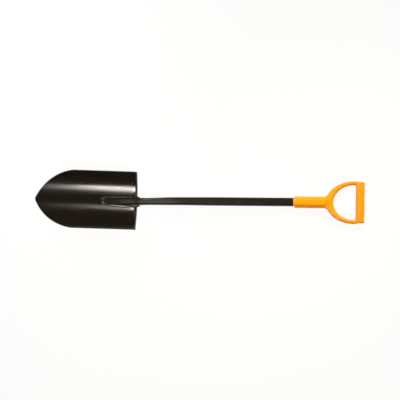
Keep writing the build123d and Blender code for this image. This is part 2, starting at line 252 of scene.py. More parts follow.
def buildBlade():
    # a flat loop round the sheet, carried down the tread, round the bend and along the blade to the tip:
    # front skin, rounded edge, back skin, rounded edge; the last loop closes on the tip
    sheet, bend, edge = blade["sheet"], blade["bend"], blade["edgeRound"]
    rimTurn = np.linspace(0, np.pi / 2, blade["rimSteps"])
    rimIn = np.concatenate([[0], edge * (1 - np.cos(rimTurn))])
    rimThin = np.concatenate([[sheet / 2], edge * (1 - np.sin(rimTurn))])
    sag = np.radians(blade["sagTurn"])
    sagShare = bend / blade["sagReach"]
    bendLeft = sag * (1 - sagShare) / (1 - sag * sagShare)
    bendTurn = np.linspace(0, np.pi / 2 - bendLeft, blade["bendSteps"])
    share = np.concatenate([
        np.linspace(0, blade["pointStart"], blade["sideSteps"])[:-1],
        np.linspace(blade["pointStart"], blade["tipStart"], blade["pointSteps"])[:-1],
        1 - (1 - blade["tipStart"]) * np.linspace(1, 0, blade["tipSteps"]) ** 2,
    ])
    runAlong, runHalf, runTurn = pointOutline(share)
    nearAlong = np.linspace(bend + blade["bendClear"], blade["sagReach"], blade["sagSteps"])[:-1]
    far = runAlong > blade["sagReach"]
    runAlong = np.concatenate([nearAlong, runAlong[far]])
    runHalf = np.concatenate([np.full(len(nearAlong), bladeHalf), runHalf[far]])
    runTurn = np.concatenate([0 * nearAlong, runTurn[far]])
    sagLeft = np.maximum(blade["sagReach"] - np.append(bend * (1 - np.sin(bendLeft)), runAlong), 0)
    runSag = sag * sagLeft ** 2 / (2 * blade["sagReach"])
    runFall = sag * sagLeft[1:] / blade["sagReach"]
    bendMiddle = runSag[0] + bend * np.cos(bendLeft)
    tread = np.linspace(blade["treadDepth"], bendMiddle, blade["treadSteps"])[1:-1]
    upright = np.ones(len(rimIn) + len(tread))
    early = np.ones(len(upright) + len(bendTurn))
    bendBelow = bendMiddle - bend * np.sin(bendTurn)
    along = np.concatenate([0 * upright, bend * (1 - np.cos(bendTurn)), runAlong])
    below = np.concatenate([blade["treadDepth"] - rimIn, tread, bendBelow, runSag[1:]])
    inAlong = np.concatenate([upright, np.cos(bendTurn), np.sin(runFall)])
    inDown = np.concatenate([0 * upright, np.sin(bendTurn), np.cos(runFall)])
    thin = np.concatenate([rimThin, 0 * tread, 0 * bendTurn, 0 * runAlong])
    halfWidth = np.concatenate([bladeHalf * early, runHalf])
    turn = np.concatenate([0 * early, runTurn])
    edgeAlong, edgeSide = -np.sin(turn), np.cos(turn)

    skin = np.linspace(-1, 1, blade["widthSteps"])
    arc = np.linspace(0, np.pi / 2, blade["edgeSteps"])
    edgeOut = np.concatenate([np.sin(arc), np.cos(arc)])  # 0 on the skins, 1 on the edge's flat
    edgeDeep = np.concatenate([1 - np.cos(arc), 1 - np.sin(arc)])
    edgeSides = np.ones(len(edgeOut))
    backHalf = np.concatenate([0 * arc, 0 * arc + 1])
    side = np.concatenate([skin, edgeSides, -skin, -edgeSides])
    out = np.concatenate([0 * skin, edgeOut, 0 * skin, edgeOut[::-1]])
    deep = np.concatenate([0 * skin, edgeDeep, 0 * skin, edgeDeep[::-1]])
    back = np.concatenate([0 * skin, backHalf, 0 * skin + 1, backHalf[::-1]])

    thin, reach = thin[:, None], (sheet / 2 - thin)[:, None]
    soft = np.minimum(edge, reach)
    inset = np.minimum(soft, halfWidth[:, None])
    depth = np.where(back > 0, sheet - thin - soft * deep, thin + soft * deep)
    offset = (out - 1) * inset
    atSide = side * (halfWidth[:, None] + np.sign(np.abs(side)) * offset * edgeSide[:, None])
    atAlong = along[:, None] + offset * edgeAlong[:, None] + depth * inAlong[:, None]
    atDepth = below[:, None] + depth * inDown[:, None]
    atUp = dishHeight(atSide, atDepth)
    leanShare = 1 - blend(atAlong / blade["leanReach"])
    atAlong = atAlong + atUp * np.tan(lean) * leanShare
    points = onBlade(atAlong, atSide, atUp)
    fromEdge = (1 - np.abs(side)) * (halfWidth * edgeSide)[:, None]
    fromRim = np.maximum(blade["treadDepth"] - below, 0)[:, None]
    fromRim = np.where(along[:, None] > bend, bladeHalf, fromRim)
    wearGlint = np.exp(-np.minimum(fromEdge, fromRim) / blade["wearReach"])
    return makePiece("bladeSheet", points, "blade", wearGlint=wearGlint)


bladeSheet = buildBlade()


# Shaft: one bent tube that narrows at the neck and ends as a tongue on the blade

tube = dict(
    width=0.0298,
    depth=0.026,
    corner=0.009,
    upperNeckWidth=0.028,
    waistWidth=0.0252,
    heelWidth=0.0264,
    noseWidth=0.0244,
    taperReach=0.310,  # distances from the heel
    upperBendReach=0.145,
    waistReach=0.042,
    lowerBendReach=0.015,
    upperBendRadius=0.42,
    lowerBendRadius=0.13,
    tongueLength=0.120,
    tongueTopHeel=0.023,  # height of its top above the blade
    tongueTopNose=0.0055,
    tongueDip=0.003,  # how far its top sags between heel and nose
    noseCorner=0.0035,
    noseReach=0.022,
    noseFull=2.5,  # 2 is an ellipse, more is fuller
    noseTurn=1.52,  # how far round, in radians, the nose is drawn in before it closes
    pastNose=0.02,  # how far the path runs on past the nose
    tipHalf=1e-6,  # half width where the nose closes
    sink=0.0008,  # into the blade's paint
    socketDepth=0.107,
    shaftSteps=40,
    neckSteps=170,
    noseSteps=26,
    columns=64,
)
mounts = {mount["name"]: mount for mount in frame["record"]["mounts"]}
toGrip = np.array(mounts["shaft_clip"]["axis"])
shaftUp = np.array([-toGrip[2], 0.0, toGrip[0]])
gripInner = 0.0148  # grip's axis to the inner side of the grip
gripAxis = np.array(mounts["hang_edge"]["pos_m"]) + toGrip * gripInner
mouth = 0.2306  # grip's axis to the socket's mouth


def onHandle(along, side, up):
    # handle coordinates, from the middle of the grip, to the spade's frame
    return gripAxis + along[..., None] * toGrip + side[..., None] * acrossDir + up[..., None] * shaftUp


def tongueTop(along):
    # height of the tongue's top, falling evenly from heel to nose
    drop = (tube["tongueTopNose"] - tube["tongueTopHeel"]) / tube["tongueLength"]
    return tube["tongueTopHeel"] + drop * along


def treadPlace(side):
    # where the tread's face cuts the blade, along the blade
    return dishHeight(side) * np.tan(lean)


def buildTube():
    # a rounded rectangle carried along straight runs and arcs; on the blade its lower side follows the
    # hollow and its top sags by a smooth bump
    def shaftPoint(reach):
        # the shaft's axis this far from the heel, seen from the side
        back = (gripAxis[0] - heel[0] - reach) / toGrip[0]
        spot = gripAxis - toGrip * back
        return -spot[0], spot[2]

    def tonguePoint(along):
        # the tongue's axis this far along the blade, seen from the side
        spot = heel + toTip * along + bladeUp * (tongueTop(along) - tube["depth"] / 2)
        return -spot[0], spot[2]

    top = gripAxis - toGrip * (mouth - tube["socketDepth"])
    corners = np.array([
        (-top[0], top[2]),
        shaftPoint(tube["upperBendReach"]),
        tonguePoint(-tube["lowerBendReach"]),
        tonguePoint(tube["tongueLength"] + tube["pastNose"]),
    ])
    knots, headings = roundedRoute(corners, np.array([tube["upperBendRadius"], tube["lowerBendRadius"]]))
    tongueTilt = headings[-1] - lift
    tipUp = np.sin(-tongueTilt) * tube["depth"] / 2
    noseEnd = knots[-1] - (tube["pastNose"] - tipUp) / np.cos(tongueTilt)
    noseStart = noseEnd - tube["noseReach"]
    tongueStart = noseEnd - tube["tongueLength"]
    straightEnd = tongueStart - tube["taperReach"]
    distance = np.concatenate([
        np.linspace(0, straightEnd, tube["shaftSteps"])[:-1],
        np.linspace(straightEnd, noseStart, tube["neckSteps"])[:-1],
        noseStart + tube["noseReach"] * np.sin(np.linspace(0, tube["noseTurn"], tube["noseSteps"])),
    ])
    spot, heading = bentPath(corners[0], knots, headings, distance)
    marks = tongueStart + np.array([
        -tube["taperReach"], -tube["upperBendReach"], -tube["waistReach"], 0.0, tube["tongueLength"],
    ])
    widths = np.array([
        tube["width"], tube["upperNeckWidth"], tube["waistWidth"], tube["heelWidth"], tube["noseWidth"],
    ])
    steps = blend((distance[:, None] - marks[:-1]) / np.diff(marks))
    half = (widths[0] + steps @ np.diff(widths)) / 2
    noseShare = np.clip((distance - noseStart) / tube["noseReach"], 0, 1)
    half = half * np.maximum(1 - noseShare ** tube["noseFull"], 0) ** (1 / tube["noseFull"])
    angle = np.linspace(0, 2 * np.pi, tube["columns"], endpoint=False)[None, :]
    flat = np.maximum(half, tube["tipHalf"])[:, None]
    pressed = blend((distance - tongueStart) / tube["tongueLength"])[:, None]
    corner = np.minimum(tube["corner"] + (tube["noseCorner"] - tube["corner"]) * pressed, flat)
    reach = roundedRectangle(angle, flat, tube["depth"] / 2, corner)
    side = reach * np.cos(angle)
    up = reach * np.sin(angle)
    middle = np.stack([-spot[:, 0], 0 * heading, spot[:, 1]], axis=1)
    upDir = np.stack([np.sin(heading), 0 * heading, np.cos(heading)], axis=1)
    points = middle[:, None] + side[..., None] * acrossDir + up[..., None] * upDir[:, None]
    onTongue = np.clip((distance - tongueStart) / tube["tongueLength"], 0, 1)[:, None, None]
    points = points - tube["tongueDip"] * (4 * onTongue * (1 - onTongue)) ** 2 * bladeUp
    fromHeel = points - heel
    lowest = dishHeight(side) - tube["sink"]
    lifted = np.where(fromHeel @ toTip > treadPlace(side), np.maximum(lowest - fromHeel @ bladeUp, 0), 0)
    points = points + lifted[..., None] * bladeUp
    return makePiece("shaftTube", capped(points), "shaft_tube")


shaftTube = buildTube()


# Welds: beads in the corner between tongue and blade

weld = dict(
    noseLeg=0.0055,  # how far a bead reaches from the tongue over the blade
    noseFront=0.0105,  # the same straight before the nose
    noseHeight=0.0042,
    sideLeg=0.0128,  # the side beads widen to this towards the heel
    sideHeight=0.0047,
    sideCrest=0.28,  # share of a side bead's width where its crest lies
    sideFull=3.6,  # 2 is an ellipse, more is flatter past the crest
    sideTilt=0.24,  # how steeply that flat falls
    sideInner=0.55,  # height beside the tongue, as a share of the crest's
    rise=0.0003,
    start=0.0345,  # heel to the crater where a side bead ends
    blobReach=0.0055,
    blobSwell=0.16,
    craterReach=0.0036,
    craterDepth=0.16,
    craterFocus=4,  # larger keeps the crater nearer the crest
    endReach=0.012,
    endSize=0.05,
    overlap=0.012,  # how far a side bead runs on beside the nose bead
    heelFirst=-0.011,  # the heel beads lie between these two places
    heelLast=0.027,
    heelRadius=0.0078,
    pitch=0.0034,  # from ripple to ripple
    bow=1.6,  # how far a ripple bends back at the bead's foot
    ripple=0.002,
    lumpLength=0.0105,
    longerLump=1.7,  # length and size of the second wave, against the first
    longerShare=0.7,
    noseLump=0.08,
    sideLump=0.006,
    heelLump=0.03,
    sink=0.0008,
    sideRows=150,
    heelRows=60,
    noseRows=120,
    columns=60,
    sharpAngle=60,
)


def lumpsOf(run, phase):
    # uneven lumps along a bead: two sine waves of different lengths
    turns = 2 * np.pi * run / weld["lumpLength"]
    waves = np.sin(turns + 3 * phase) + weld["longerShare"] * np.sin(turns / weld["longerLump"] + phase)
    return waves / (1 + weld["longerShare"])


def rippled(run, angle, lump, phase):
    # bead size along its run: fine ripples bent like scales, on the lumps
    scale = np.cos(2 * np.pi * run / weld["pitch"] + weld["bow"] * np.cos(angle) ** 2 + phase)
    return 1 + weld["ripple"] * scale + lump * lumpsOf(run, phase)


def crestWearGlintOf(run, angle, phase):
    # bare steel shows where a lump stands highest; on the nose bead these pale spots are also painted
    # glints
    return np.clip(lumpsOf(run, phase), 0, 1) * np.clip(np.sin(angle), 0, 1) ** 2


def tongueHalf(along):
    # half width of the tongue, heel to nose
    share = blend(along / tube["tongueLength"])
    return (tube["heelWidth"] + (tube["noseWidth"] - tube["heelWidth"]) * share) / 2


def clampToBlade(along, side, up, angle):
    # no bead goes deeper than just below the hollow
    floor = dishHeight(side) - weld["sink"] * (1 - np.sin(angle) / 2)
    return onBlade(along + 0 * angle, side, np.maximum(up, floor))


def beadAngles():
    # directions round a bead's section, from outwards through up
    return np.linspace(0, 2 * np.pi, weld["columns"], endpoint=False)[None, :]


def closingOf(run, first, last):
    # 1 along a bead, falling to a small end like a half ellipse
    nearEnd = np.minimum(run - first, last - run) / weld["endReach"]
    return np.maximum(np.sqrt(1 - np.clip(1 - nearEnd, 0, 1) ** 2), weld["endSize"])


def beadPiece(name, node, points, wearGlint):
    # a grid of rings along the bead, closed at both ends
    wearGlint = np.concatenate([wearGlint[:1], wearGlint, wearGlint[-1:]])
    return makePiece(name, capped(points), node, sharpAngle=weld["sharpAngle"], wearGlint=wearGlint)


def buildSideWeld(name, node, hand, phase):
    # a section carried along the tongue's side, wider towards the heel, with a cratered blob at that end:
    # a short rise from the tongue to the crest, then a flattened ellipse that leans outwards; both ends
    # close as half ellipses
    angle = beadAngles()
    first = weld["start"] - weld["blobReach"]
    last = tube["tongueLength"] - tube["noseReach"] + weld["overlap"]
    turn = np.linspace(0, np.pi, weld["sideRows"])[:, None]
    along = first + (last - first) * (1 - np.cos(turn)) / 2
    toNose = (along - first) / (last - first)
    fromCrater = along - weld["start"]
    blob = 1 + weld["blobSwell"] * np.exp(-(fromCrater / weld["blobReach"]) ** 2)
    over, high = np.cos(angle), np.sin(angle)
    crater = np.exp(-(fromCrater / weld["craterReach"]) ** 2) * high ** weld["craterFocus"]
    size = closingOf(along, first, last) * blob * rippled(along, angle, weld["sideLump"], phase)
    leg = size * (weld["sideLeg"] + (weld["noseLeg"] - weld["sideLeg"]) * toNose)
    height = size * (weld["sideHeight"] + (weld["noseHeight"] - weld["sideHeight"]) * toNose)
    height = height * (1 - weld["craterDepth"] * crater)
    crest = weld["sideCrest"] * leg
    past = (leg - crest) * np.abs(over)
    flattened = (1 - np.abs(over) ** weld["sideFull"]) ** (1 / weld["sideFull"])
    outer = height * flattened - weld["sideTilt"] * past
    inner = height * (weld["sideInner"] + (1 - weld["sideInner"]) * high)
    out = np.where(over > 0, crest + past, crest * (1 + over))
    out = np.where(high < 0, np.maximum(leg * over, -weld["sink"]), out)
    up = weld["rise"] + np.where(high < 0, height * high, np.where(over > 0, outer, inner))
    side = hand * (tongueHalf(along) + out)
    return beadPiece(name, node, clampToBlade(along, side, up, angle), 0 * up)


def buildHeelWeld(name, node, hand, phase):
    # a round bead along the tube's side that swells and fades like a lens, over the shoulder
    angle = beadAngles()
    place = np.cos(np.linspace(np.pi, 0, weld["heelRows"]))[:, None]
    middle, half = (weld["heelLast"] + weld["heelFirst"]) / 2, (weld["heelLast"] - weld["heelFirst"]) / 2
    along = middle + half * place
    lens = np.maximum(np.sqrt(1 - place ** 2), weld["endSize"])
    radius = weld["heelRadius"] * lens * rippled(along, angle, weld["heelLump"], phase)
    out = np.maximum(radius * np.cos(angle), -weld["sink"])
    side = hand * (tongueHalf(along) + out)
    up = weld["rise"] + radius * np.sin(angle)
    return beadPiece(name, node, clampToBlade(along, side, up, angle), 0 * up)


def buildNoseWeld(name, node, phase):
    # the bead carried round the half ellipse of the tongue's nose, closing at both ends
    angle = beadAngles()
    turn = np.linspace(-np.pi / 2, np.pi / 2, weld["noseRows"])[:, None]
    half = tube["noseWidth"] / 2
    along = tube["tongueLength"] - tube["noseReach"] + tube["noseReach"] * np.cos(turn)
    side = half * np.sin(turn)
    normal = np.stack([np.cos(turn) / tube["noseReach"], np.sin(turn) / half])
    normal = normal / np.linalg.norm(normal, axis=0)
    steps = np.hypot(np.diff(along, axis=0), np.diff(side, axis=0))
    run = np.concatenate([[[0.0]], np.cumsum(steps, axis=0)])
    size = closingOf(run, 0.0, run[-1]) * rippled(run, angle, weld["noseLump"], phase)
    leg = weld["noseLeg"] + (weld["noseFront"] - weld["noseLeg"]) * np.cos(turn) ** 2
    out = np.maximum(leg * size * np.cos(angle), -weld["sink"])
    up = weld["rise"] + weld["noseHeight"] * size * np.sin(angle)
    points = clampToBlade(along + out * normal[0], side + out * normal[1], up, angle)
    # pale bare-steel crests: paint come off, and also a painted glint on every lump
    return beadPiece(name, node, points, crestWearGlintOf(run, angle, phase))


welds = [
    buildNoseWeld("weldNose", "weld_nose", 0.4),
    buildSideWeld("weldSideLeft", "weld_side_left", 1, 1.3),
    buildSideWeld("weldSideRight", "weld_side_right", -1, 2.9),
    buildHeelWeld("weldHeelLeft", "weld_heel_left", 1, 0.8),
    buildHeelWeld("weldHeelRight", "weld_heel_right", -1, 2.1),
]


# Handle frame: socket sleeve, bowed yoke and the inner half of the grip, in one moulding

handle = dict(
    gripThickness=0.034,
    gripRound=0.0144,
    seam=0.0058,  # the seam lies this far inside the axis
    seamRound=0.0005,
    chamferLength=0.006,
    chamferDepth=0.004,
    sleeveWidth=0.0403,
    sleeveDepth=0.038,
    sleeveRound=0.0165,
    sleeveEnd=0.1225,
    sleeveTop=0.005,  # how much farther the sleeve runs at its top and back
    yokeDepth=0.025,
    yokeRoundShare=0.37,  # share of an arm's width that each rounded edge takes
    yokeRoundUp=0.0095,
    yokeHalf=0.0744,
    yokeCentre=0.0212,
    yokeReach=0.0974,
    openingHalf=0.0611,
    openingCentre=0.0222,
    openingReach=0.0707,
    openingFull=1.94,  # 2 is an ellipse, less is straighter
    openingCorner=0.007,
    boreDepth=0.108,
    boreGap=0.0001,
    windowTurn=20.0,  # degrees each side of the shaft where the sleeve joins the yoke
    windowColumn=25,  # column of the yoke's top where that joint begins
    rivetBack=0.060,  # mouth to rivet
    rivetSeat=0.00485,
    rivetRecess=0.0022,
    seatEdge=0.0005,  # rounding of the seat's edge
    seatClear=0.0085,  # half the patch of the sleeve that is drawn round the seat
    jointRows=10,
    rimPull=0.004,  # how firmly the joint leaves the yoke and the sleeve
    sleevePull=0.0015,
    shoulderSharp=5.5,  # larger makes the yoke's corners at the seam less round
    lipRound=0.0004,
    bowFirst=92.0,  # degrees at which the bow of the yoke begins
    bowSteps=133,
    shoulderSteps=16,
    barSteps=30,
    sleeveSteps=44,
    seatSteps=5,
    wallColumns=5,
    cornerColumns=8,
    topColumns=13,
)


def halfLoop():
    # columns up the inner wall, over the top and down the outer wall of a section: place between the
    # corner centres across and upwards, the direction round a corner, and for the grip's section the
    # share of its large arc and the direction round the seam's edge
    wall = np.linspace(0, 1, handle["wallColumns"])
    turn = np.linspace(np.pi, np.pi / 2, handle["cornerColumns"])[1:]
    top = np.linspace(0, 1, handle["topColumns"])[1:]
    back = np.linspace(np.pi / 2, 0, handle["cornerColumns"])[1:]
    over = np.linspace(0, 1, len(turn) + len(top) + 1)[1:]
    across = np.concatenate([0 * wall, 0 * turn, top, 1 + 0 * back, 1 + 0 * wall[1:]])
    upward = np.concatenate([wall, 1 + 0 * turn, 1 + 0 * top, 1 + 0 * back, wall[::-1][1:]])
    facing = np.concatenate([np.pi + 0 * wall, turn, np.pi / 2 + 0 * top, back, 0 * wall[1:]])
    arcShare = np.concatenate([0 * wall, over, 1 + 0 * back, 1 + 0 * wall[1:]])
    edgeTurn = np.concatenate([np.pi / 2 + 0 * wall, np.pi / 2 + 0 * over, back, 0 * wall[1:]])
    return across, upward, facing, arcShare, edgeTurn


def frameRing():
    # the D: sections between an inner and an outer outline, rounded boxes on the arms that turn into
    # the inner side of the grip along the bar
    bow = np.radians(np.linspace(handle["bowFirst"], 360 - handle["bowFirst"], handle["bowSteps"]))
    corner = np.linspace(0, np.pi / 2, handle["shoulderSteps"])[1:]
    centreX = -gripInner - handle["openingCorner"]
    centreY = handle["openingHalf"] - handle["openingCorner"]
    bar = np.linspace(-centreY, centreY, handle["barSteps"])
    toSeam = (-handle["seam"] - centreX) / np.maximum(np.cos(corner), tiny)
    toSide = (handle["yokeHalf"] - centreY) / np.maximum(np.sin(corner), tiny)
    sharp = handle["shoulderSharp"]
    ray = (toSeam ** -sharp + toSide ** -sharp) ** (-1 / sharp)
    upper = [
        np.stack([centreX + reach * np.cos(corner), centreY + reach * np.sin(corner)], axis=1)
        for reach in (handle["openingCorner"], ray)
    ]
    flip = np.array([1, -1])
    power = 2 / handle["openingFull"]
    bowIn = np.stack([
        -np.abs(np.cos(bow)) ** power * handle["openingReach"] - handle["openingCentre"],
        np.sign(np.sin(bow)) * np.abs(np.sin(bow)) ** power * handle["openingHalf"],
    ], axis=1)
    bowOut = np.stack([
        np.cos(bow) * handle["yokeReach"] - handle["yokeCentre"],
        np.sin(bow) * handle["yokeHalf"],
    ], axis=1)
    barIn = np.stack([0 * bar - gripInner, bar], axis=1)
    barOut = np.stack([0 * bar - handle["seam"], bar], axis=1)
    inner = np.concatenate([barIn, upper[0], bowIn, upper[0][::-1] * flip])
    outer = np.concatenate([barOut, upper[1], bowOut, upper[1][::-1] * flip])
    fading = blend(1 - corner / corner[-1])
    grip = np.concatenate([1 + 0 * bar, fading, 0 * bow, fading[::-1]])[:, None]

    across, upward, facing, arcShare, edgeTurn = halfLoop()
    edgeShare, crown = handle["yokeRoundShare"], handle["yokeRoundUp"]
    armOut = edgeShare + across * (1 - 2 * edgeShare) + edgeShare * np.cos(facing)
    armUp = upward * (handle["yokeDepth"] / 2 - crown) + crown * np.sin(facing)
    big, edge = handle["gripRound"], handle["seamRound"]
    width = gripInner - handle["seam"]
    low = handle["gripThickness"] / 2 - big
    arcEnd = np.arccos((width - big) / big)
    arcTurn = np.pi + (arcEnd - np.pi) * arcShare
    onArc = arcShare < 1
    seamUp = low + big * np.sin(arcEnd)
    barAcross = np.where(onArc, big + big * np.cos(arcTurn), width - edge + edge * np.cos(edgeTurn)) / width
    arcUp = low * upward + big * np.sin(arcTurn)
    edgeUp = (seamUp - edge) * upward + edge * np.sin(edgeTurn)
    barUp = np.where(onArc, arcUp, edgeUp)
    share = armOut + (barAcross - armOut) * grip
    up = armUp + (barUp - armUp) * grip
    share = np.concatenate([share, share[:, -2:0:-1]], axis=1)
    up = np.concatenate([up, -up[:, -2:0:-1]], axis=1)
    plan = inner[:, None] + share[..., None] * (outer - inner)[:, None]
    return np.concatenate([plan, up[..., None]], axis=2), len(bar) + len(corner), bow


def sleeveReach(angle, inset=0.0):
    # distance from the shaft's axis to the sleeve's surface, a rounded rectangle drawn in by the inset
    half = handle["sleeveWidth"] / 2 - inset, handle["sleeveDepth"] / 2 - inset
    return roundedRectangle(angle, *half, handle["sleeveRound"] - inset)


def sleeveBack(side):
    # depth of the sleeve's back at a distance from the middle: flat, then round
    corner = handle["sleeveRound"]
    past = np.maximum(np.abs(side) - handle["sleeveWidth"] / 2 + corner, 0)
    return handle["sleeveDepth"] / 2 - corner + np.sqrt(corner ** 2 - past ** 2)


def buildLimb(angle, joint):
    # loops from the joint along the sleeve to its mouth, and back in along the bore to its end
    def loop(x, reach):
        # a ring round the sleeve's axis
        return np.stack([x + 0 * angle, reach * np.cos(angle), reach * np.sin(angle)], axis=1)

    gap, lip, inset = handle["boreGap"], handle["lipRound"], handle["chamferDepth"]
    boreHalf = tube["width"] / 2 + gap, tube["depth"] / 2 + gap
    bore = roundedRectangle(angle, *boreHalf, tube["corner"] + gap)
    straight = np.linspace(handle["sleeveEnd"], mouth - handle["chamferLength"], handle["sleeveSteps"])[1:]
    outside = [loop(-x, sleeveReach(angle)) for x in straight]
    ends = [
        loop(2 * lip - mouth, sleeveReach(angle, inset - lip)),
        loop(lip / 2 - mouth, sleeveReach(angle, inset - lip / 4)),
        loop(-mouth, sleeveReach(angle, inset + lip)),
        loop(-mouth, bore + lip),
        loop(lip - mouth, bore),
        loop(handle["boreDepth"] - mouth, bore),
        loop(handle["boreDepth"] - mouth, 0 * bore),
    ]
    outsideRows = len(joint), len(joint) + len(outside)
    return np.concatenate([joint, np.array(outside), np.array(ends)]), outsideRows


def buildSeat(limb, outsideRows):
    # the rivet's seat: rings from the rim of a window in the sleeve's back, over a round edge, down to a
    # flat floor
    centre = handle["rivetBack"] - mouth
    fromCentre = np.abs(limb[..., :2] - [centre, 0])
    near = (fromCentre < handle["seatClear"]).all(axis=2) & (limb[..., 2] < 0)
    near[:outsideRows[0]] = near[outsideRows[1]:] = False
    rows = np.flatnonzero(near.any(axis=1))[[0, -1]]
    columns = np.flatnonzero(near.any(axis=0))[[0, -1]]
    rim = windowRim(numbered(limb), rows, columns)
    rimPoints = limb.reshape(-1, 3)[rim]
    turn = np.arctan2(rimPoints[:, 1], rimPoints[:, 0] - centre)
    edgeTurn = np.linspace(0, np.pi / 2, handle["seatSteps"])
    seatRadius, edge, deep = handle["rivetSeat"], handle["seatEdge"], handle["rivetRecess"]
    radius = np.append(seatRadius + edge * (1 - np.sin(edgeTurn)), [seatRadius, 0])[:, None]
    drop = np.append(edge * (1 - np.cos(edgeTurn)), [deep, deep])[:, None]
    side = radius * np.sin(turn)
    level = np.where(drop < deep, sleeveBack(side), handle["sleeveDepth"] / 2) - drop
    seat = np.stack([centre + radius * np.cos(turn), side, -level], axis=2)
    return seat, rim, (rows, columns)


def buildFrame():
    # the ring with a window at the shaft's side, a smooth bridge from the window to the sleeve,
    # the sleeve and its bore, and the rivet's seat in the sleeve's back
    ring, bowStart, bow = frameRing()
    ringIndex = numbered(ring)
    inWindow = np.flatnonzero(np.abs(np.degrees(bow) - 180) <= handle["windowTurn"]) + bowStart
    rows = inWindow[0], inWindow[-1]
    columns = handle["windowColumn"], ring.shape[1] - handle["windowColumn"]
    rim = windowRim(ringIndex, rows, columns)
    flat = ring.reshape(-1, 3)
    rimPoints = flat[rim]
    angle = np.arctan2(rimPoints[:, 2], rimPoints[:, 1])
    start = sleeveReach(angle)
    reached = handle["sleeveTop"] * np.sin(angle) ** 2 - handle["sleeveEnd"]
    sleeveStart = np.stack([reached, start * np.cos(angle), start * np.sin(angle)], axis=1)
    inside = flat[windowRim(ringIndex, (rows[0] + 1, rows[1] - 1), (columns[0] + 1, columns[1] - 1))]
    apart = np.linalg.norm(rimPoints[:, None] - inside[None], axis=2)
    pull = inside[np.argmin(apart, axis=1)] - rimPoints
    pull = pull / np.linalg.norm(pull, axis=1, keepdims=True) * handle["rimPull"]
    leave = np.array([-handle["sleevePull"], 0.0, 0.0]) + 0 * pull
    joint = bridge(rimPoints, pull, sleeveStart, leave, handle["jointRows"])
    joint = np.concatenate([joint, sleeveStart[None]])
    limb, outsideRows = buildLimb(angle, joint)
    limbIndex = numbered(limb, ringIndex.size)
    seat, seatRim, (seatRows, seatColumns) = buildSeat(limb, outsideRows)
    seatIndex = numbered(seat, ringIndex.size + limbIndex.size)
    quads = [
        cellsOf(np.concatenate([ringIndex, ringIndex[:1]]), (rows, columns)),
        cellsOf(np.concatenate([rim[None], limbIndex]), (seatRows + 1, seatColumns)),
        cellsOf(np.concatenate([limbIndex.ravel()[seatRim][None], seatIndex])),
    ]
    points = np.concatenate([flat, limb.reshape(-1, 3), seat.reshape(-1, 3)])
    points = onHandle(points[:, 0], points[:, 1], points[:, 2])
    return makePiece("handleMoulding", points, "handle_frame", np.concatenate(quads))


handleMoulding = buildFrame()


# Grip shell: the outer half of the grip

shell = dict(
    outer=0.0155,  # grip's axis to the outer side of the grip
    halfLength=0.0709,
    endRound=0.003,
    seamGap=0.0001,
    endSteps=7,
    rows=42,
    seamColumns=6,
    frontColumns=20,
)


def buildGripShell():
    # the outer side of the grip's section carried along the grip, drawn in round both ends
    big, end, half = handle["gripRound"], shell["endRound"], shell["halfLength"]
    low = handle["gripThickness"] / 2 - big
    seamX = -handle["seam"] + shell["seamGap"]
    backCentre, frontCentre = big - gripInner, shell["outer"] - big
    turnIn = np.linspace(0, np.pi / 2, shell["endSteps"])
    up, down = end * np.sin(turnIn), end * np.cos(turnIn)
    middle = np.linspace(-1, 1, shell["rows"])[1:-1] * (half - end)
    drawIn = np.concatenate([end - up, 0 * middle, end - down])[:, None]
    place = np.concatenate([end - down - half, middle, half - end + up])[:, None]
    radius = big - drawIn
    seamTurn = np.arccos((seamX - backCentre) / radius)
    first = seamTurn + (np.pi / 2 - seamTurn) * np.linspace(0, 1, shell["seamColumns"])
    second = np.linspace(np.pi / 2, 0, shell["frontColumns"])[None, :] + 0 * radius
    x = np.concatenate([backCentre + radius * np.cos(first), frontCentre + radius * np.cos(second)], axis=1)
    z = np.concatenate([low + radius * np.sin(first), low + radius * np.sin(second)], axis=1)
    edge = handle["seamRound"]
    x = np.concatenate([seamX + 0 * radius, x], axis=1)
    z = np.concatenate([z[:, :1] - edge, z], axis=1)
    x[:, 1] = seamX + edge
    x = np.concatenate([x, x[:, ::-1]], axis=1)
    z = np.concatenate([z, -z[:, ::-1]], axis=1)
    points = onHandle(x, place + 0 * x, z)
    return makePiece("gripShell", capped(points), "grip_shell")


gripShell = buildGripShell()


# Blind rivet in the back of the sleeve, and the pin left in it

rivet = dict(
    headRadius=0.00475,
    headHeight=0.0015,
    rimShare=0.4,  # share of the head's height below its dome
    shankRadius=0.0024,
    bulbRadius=0.0035,
    bulbLength=0.005,
    bulbEdge=(0.0004, 0.0005),  # bevel of the bulb, across and along
    pinRadius=0.0013,
    pinHeadRadius=0.0021,
    pinHeadLength=0.0024,
    pinHeadFlat=0.8,  # share of the head's radius that is flat
    pinHeadEdge=0.0004,
    breakShares=(0.6, 0.5),  # shares of the pin's radius where it snapped off
    breakLength=0.0004,
    breakHollow=0.0003,
    wall=0.0015,
    domeSteps=9,
    columns=40,
    sharpAngle=30,
)


def turned(name, node, profile):
    # rows of radius and level turned about the rivet's axis, level counted out from the shaft's axis
    angle = np.linspace(0, 2 * np.pi, rivet["columns"], endpoint=False)
    radius, level = np.array(profile).T[..., None]
    along = handle["rivetBack"] - mouth + radius * np.cos(angle)
    points = onHandle(along, radius * np.sin(angle), -level + 0 * along)
    return makePiece(name, points, node, sharpAngle=rivet["sharpAngle"])


